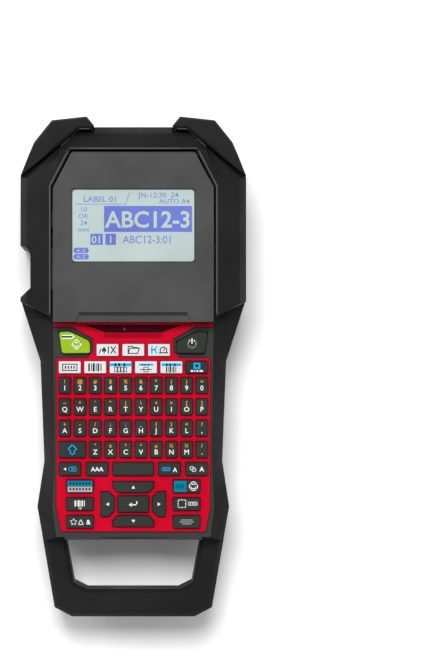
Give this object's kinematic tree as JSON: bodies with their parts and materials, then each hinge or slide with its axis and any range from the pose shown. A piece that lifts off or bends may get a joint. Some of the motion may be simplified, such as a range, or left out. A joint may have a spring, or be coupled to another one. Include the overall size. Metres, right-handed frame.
{
  "type": "handheld label printer",
  "caption": "Handheld thermal-transfer label printer with hinged display cover, letter keyboard, side label slot, gear-driven platen, cutter and carry handle.",
  "frame": {"origin": "on the surface under the feet, at the middle of the printer's width and length", "axes": "+Z out of the display, +Y towards the display head, +X to the right of a reader of the display"},
  "size_m": [0.1312, 0.292, 0.08],
  "materials": {
    "case_plastic": "fine texture",
    "bumper_rubber": "matt",
    "cover_plastic": "satin",
    "bezel_red": "satin",
    "key_light": "satin",
    "key_dark": "satin",
    "key_green": "satin",
    "clear": "clear",
    "lcd": "matt",
    "board_green": "solder mask",
    "silicone": "matt",
    "steel": "plain",
    "dark_steel": "black oxide",
    "acetal": "smooth",
    "roller_rubber": "ground",
    "cartridge_grey": "fine texture",
    "paper": "paper",
    "ribbon": "film",
    "battery_wrap": "label",
    "foot_rubber": "matt"
  },
  "bodies": {
    "case": {"rear_case": "case_plastic", "front_case": "case_plastic", "exit_guide": "case_plastic", "left_bumper": "bumper_rubber", "right_bumper": "bumper_rubber", "keyboard_bezel": "bezel_red", "key_mat": "silicone", "keypad_board": "board_green", "cover_hinge_pin": "steel", "reduction_gear_post": "steel", "drive_motor": "steel", "chassis_plate": "steel", "main_board": "board_green", "roller_bracket": "steel", "head_arm_pin": "steel", "cutter_frame": "dark_steel", "cutter_motor": "steel", "cartridge_case": "cartridge_grey", "cartridge_lid": "cartridge_grey", "label_strip": "paper", "battery_pack": "battery_wrap", "power_inlet": "cover_plastic", "usb_port": "steel", "case_screws": "dark_steel", "rubber_feet": "foot_rubber"},
    "cover": {"display_cover": "cover_plastic", "display_window": "clear", "display_module": "lcd", "cover_liner": "cover_plastic"},
    "print_key_body": {"print_key": "key_green"},
    "power_key_body": {"power_key": "key_dark"},
    "icon_keys_body": {"icon_keys": "key_light"},
    "mode_keys_body": {"mode_keys": "key_light"},
    "digit_keys_body": {"digit_keys": "key_dark"},
    "top_letter_keys_body": {"top_letter_keys": "key_dark"},
    "middle_letter_keys_body": {"middle_letter_keys": "key_dark"},
    "bottom_letter_keys_body": {"bottom_letter_keys": "key_dark"},
    "shift_key_body": {"shift_key": "key_dark"},
    "space_key_body": {"space_key": "key_dark"},
    "lower_function_keys_body": {"lower_function_keys": "key_dark"},
    "left_side_keys_body": {"left_side_keys": "key_dark"},
    "right_side_keys_body": {"right_side_keys": "key_dark"},
    "enter_key_body": {"enter_key": "key_dark"},
    "up_key_body": {"up_key": "key_dark"},
    "down_key_body": {"down_key": "key_dark"},
    "left_key_body": {"left_key": "key_dark"},
    "right_key_body": {"right_key": "key_dark"},
    "reduction": {"reduction_gear": "acetal"},
    "platen": {"platen_roller": "roller_rubber", "platen_shaft": "steel", "platen_gear": "acetal"},
    "takeup": {"takeup_gear": "acetal", "ribbon_takeup_spool": "ribbon"},
    "motor_rotor": {"motor_pinion": "acetal"},
    "labels": {"label_roll": "paper"},
    "supply": {"ribbon_supply_spool": "ribbon"},
    "print_arm": {"head_arm": "dark_steel", "print_head": "dark_steel"},
    "blade": {"cutter_blade": "steel"},
    "door": {"battery_door": "case_plastic"}
  },
  "joints": [
    {"name": "cover_hinge", "type": "hinge", "parent": "case", "child": "cover", "pos_m": [0, 0.1243, 0.0745], "axis": [-1, 0, 0], "range_deg": [0, 75]},
    {"name": "print_key_press", "type": "slide", "parent": "case", "child": "print_key_body", "axis": [0, 0, -1], "range_m": [0, 0.0012], "stiffness_N_per_m": 250, "springref_m": -0.002},
    {"name": "power_key_press", "type": "slide", "parent": "case", "child": "power_key_body", "axis": [0, 0, -1], "range_m": [0, 0.0012], "stiffness_N_per_m": 250, "springref_m": -0.002},
    {"name": "icon_keys_press", "type": "slide", "parent": "case", "child": "icon_keys_body", "axis": [0, 0, -1], "range_m": [0, 0.0012], "stiffness_N_per_m": 375, "springref_m": -0.002},
    {"name": "mode_keys_press", "type": "slide", "parent": "case", "child": "mode_keys_body", "axis": [0, 0, -1], "range_m": [0, 0.0012], "stiffness_N_per_m": 750, "springref_m": -0.002},
    {"name": "digit_keys_press", "type": "slide", "parent": "case", "child": "digit_keys_body", "axis": [0, 0, -1], "range_m": [0, 0.0012], "stiffness_N_per_m": 1250, "springref_m": -0.002},
    {"name": "top_letter_keys_press", "type": "slide", "parent": "case", "child": "top_letter_keys_body", "axis": [0, 0, -1], "range_m": [0, 0.0012], "stiffness_N_per_m": 1250, "springref_m": -0.002},
    {"name": "middle_letter_keys_press", "type": "slide", "parent": "case", "child": "middle_letter_keys_body", "axis": [0, 0, -1], "range_m": [0, 0.0012], "stiffness_N_per_m": 1250, "springref_m": -0.002},
    {"name": "bottom_letter_keys_press", "type": "slide", "parent": "case", "child": "bottom_letter_keys_body", "axis": [0, 0, -1], "range_m": [0, 0.0012], "stiffness_N_per_m": 1000, "springref_m": -0.002},
    {"name": "shift_key_press", "type": "slide", "parent": "case", "child": "shift_key_body", "axis": [0, 0, -1], "range_m": [0, 0.0012], "stiffness_N_per_m": 250, "springref_m": -0.002},
    {"name": "space_key_press", "type": "slide", "parent": "case", "child": "space_key_body", "axis": [0, 0, -1], "range_m": [0, 0.0012], "stiffness_N_per_m": 250, "springref_m": -0.002},
    {"name": "lower_function_keys_press", "type": "slide", "parent": "case", "child": "lower_function_keys_body", "axis": [0, 0, -1], "range_m": [0, 0.0012], "stiffness_N_per_m": 500, "springref_m": -0.002},
    {"name": "left_side_keys_press", "type": "slide", "parent": "case", "child": "left_side_keys_body", "axis": [0, 0, -1], "range_m": [0, 0.0012], "stiffness_N_per_m": 375, "springref_m": -0.002},
    {"name": "right_side_keys_press", "type": "slide", "parent": "case", "child": "right_side_keys_body", "axis": [0, 0, -1], "range_m": [0, 0.0012], "stiffness_N_per_m": 375, "springref_m": -0.002},
    {"name": "enter_key_press", "type": "slide", "parent": "case", "child": "enter_key_body", "axis": [0, 0, -1], "range_m": [0, 0.0012], "stiffness_N_per_m": 250, "springref_m": -0.002},
    {"name": "up_key_press", "type": "slide", "parent": "case", "child": "up_key_body", "axis": [0, 0, -1], "range_m": [0, 0.0012], "stiffness_N_per_m": 250, "springref_m": -0.002},
    {"name": "down_key_press", "type": "slide", "parent": "case", "child": "down_key_body", "axis": [0, 0, -1], "range_m": [0, 0.0012], "stiffness_N_per_m": 250, "springref_m": -0.002},
    {"name": "left_key_press", "type": "slide", "parent": "case", "child": "left_key_body", "axis": [0, 0, -1], "range_m": [0, 0.0012], "stiffness_N_per_m": 250, "springref_m": -0.002},
    {"name": "right_key_press", "type": "slide", "parent": "case", "child": "right_key_body", "axis": [0, 0, -1], "range_m": [0, 0.0012], "stiffness_N_per_m": 250, "springref_m": -0.002},
    {"name": "reduction_spin", "type": "hinge", "parent": "case", "child": "reduction", "pos_m": [-0.02002, 0.05296, 0.03], "axis": [0, 0, 1], "continuous": true},
    {"name": "platen_spin", "type": "hinge", "parent": "case", "child": "platen", "pos_m": [-0.04, 0.0539, 0.03], "axis": [0, 0, 1], "continuous": true},
    {"name": "takeup_spin", "type": "hinge", "parent": "case", "child": "takeup", "pos_m": [-0.014, 0.0737, 0.03], "axis": [0, 0, 1], "continuous": true},
    {"name": "motor_spin", "type": "hinge", "parent": "case", "child": "motor_rotor", "pos_m": [-0.00547, 0.04456, 0.03], "axis": [0, 0, 1], "continuous": true},
    {"name": "label_roll_spin", "type": "hinge", "parent": "case", "child": "labels", "pos_m": [0.02, 0.0835, 0.03], "axis": [0, 0, 1], "continuous": true},
    {"name": "supply_spin", "type": "hinge", "parent": "case", "child": "supply", "pos_m": [-0.014, 0.0977, 0.03], "axis": [0, 0, 1], "continuous": true},
    {"name": "head_arm_swing", "type": "hinge", "parent": "case", "child": "print_arm", "pos_m": [-0.03, 0.0682, 0.045], "axis": [0, 0, -1], "range_deg": [0, 10]},
    {"name": "blade_stroke", "type": "slide", "parent": "case", "child": "blade", "axis": [0, -1, 0], "range_m": [0, 0.006]},
    {"name": "battery_door_slide", "type": "slide", "parent": "case", "child": "door", "axis": [0, -1, 0], "range_m": [0, 0.03]}
  ],
  "couplings": [
    {"joint": "platen_spin", "follows": "reduction_spin", "ratio": -1.5},
    {"joint": "takeup_spin", "follows": "reduction_spin", "ratio": -1.25},
    {"joint": "motor_spin", "follows": "reduction_spin", "ratio": -2.5},
    {"joint": "label_roll_spin", "follows": "reduction_spin", "ratio": 0.3125},
    {"joint": "supply_spin", "follows": "reduction_spin", "ratio": 0.83333},
    {"joint": "head_arm_swing", "follows": "cover_hinge", "ratio": 0.13333}
  ]
}
